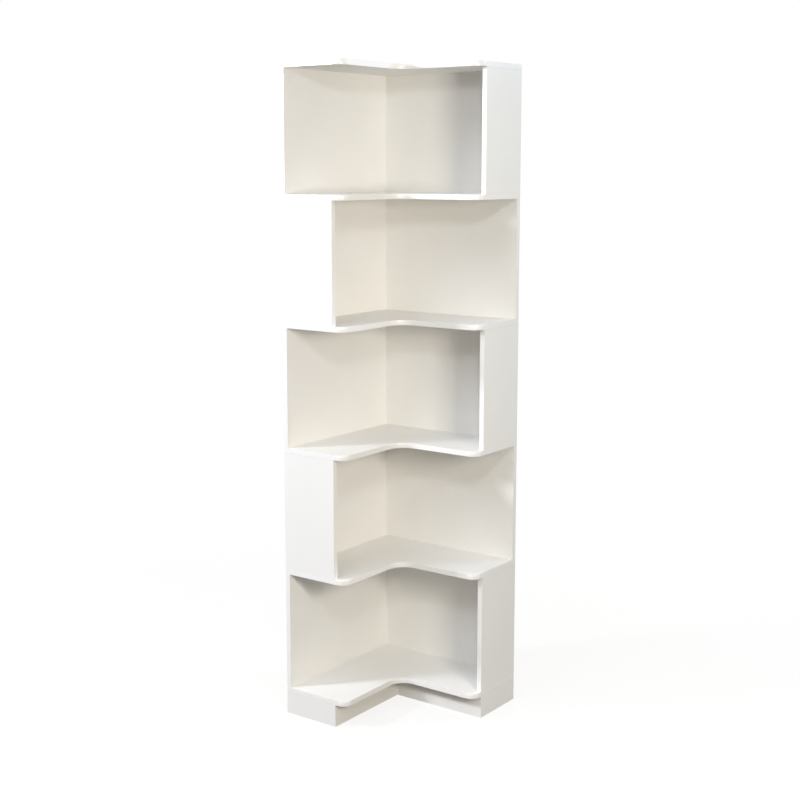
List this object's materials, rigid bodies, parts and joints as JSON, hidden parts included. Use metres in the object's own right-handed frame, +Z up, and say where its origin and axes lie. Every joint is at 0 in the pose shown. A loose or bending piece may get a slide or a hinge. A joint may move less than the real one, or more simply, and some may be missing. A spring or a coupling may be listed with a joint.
{
  "type": "corner bookcase",
  "caption": "Tall L-shaped corner bookcase: open tiers between fixed L-shaped shelves with rounded front corners, board backs, alternating end panels and a recessed plinth.",
  "frame": {"origin": "centre of the bounding box's base, on the floor", "axes": "+Z up; the outer back corner of the L is at -X +Y, the left wing lies along the wall at -X and the right wing along the wall at +Y"},
  "size_m": [0.515, 0.515, 2.022],
  "materials": {
    "board": "white melamine-faced particle board, satin",
    "edge_band": "white ABS edge band, satin",
    "steel": "bright zinc-plated steel",
    "zinc": "die-cast zinc, dull",
    "cap_plastic": "white moulded plastic",
    "beech": "plain beech"
  },
  "bodies": {
    "root": {"bottom_shelf": "board", "bottom_shelf_edge_band": "edge_band", "shelf_2": "board", "shelf_2_edge_band": "edge_band", "shelf_3": "board", "shelf_3_edge_band": "edge_band", "shelf_4": "board", "shelf_4_edge_band": "edge_band", "shelf_5": "board", "shelf_5_edge_band": "edge_band", "top_board": "board", "top_board_edge_band": "edge_band", "left_back_panel_1": "board", "right_back_panel_1": "board", "right_end_panel_1": "board", "end_panel_band_1": "edge_band", "back_panel_band_1": "edge_band", "left_back_panel_2": "board", "right_back_panel_2": "board", "left_end_panel_2": "board", "end_panel_band_2": "edge_band", "back_panel_band_2": "edge_band", "left_back_panel_3": "board", "right_back_panel_3": "board", "right_end_panel_3": "board", "end_panel_band_3": "edge_band", "back_panel_band_3": "edge_band", "left_back_panel_4": "board", "right_back_panel_4": "board", "left_end_panel_4": "board", "end_panel_band_4": "edge_band", "back_panel_band_4": "edge_band", "left_back_panel_5": "board", "right_back_panel_5": "board", "right_end_panel_5": "board", "end_panel_band_5": "edge_band", "back_panel_band_5": "edge_band", "plinth_left_end": "board", "plinth_right_end": "board", "plinth_left_front": "board", "plinth_right_front": "board", "plinth_left_rear": "board", "plinth_right_rear": "board", "plinth_cross_rail": "board", "double_ended_bolts": "steel", "cam_bolts": "steel", "corner_screws": "steel", "plinth_angles": "steel", "plinth_angle_screws": "steel", "left_wall_bracket": "steel", "right_wall_bracket": "steel", "wall_bracket_screws": "steel", "back_cam_locks": "zinc", "end_cam_locks": "zinc", "cam_cover_caps": "cap_plastic", "shelf_dowels": "beech", "upright_dowels": "beech", "plinth_dowels": "beech"}
  },
  "joints": []
}
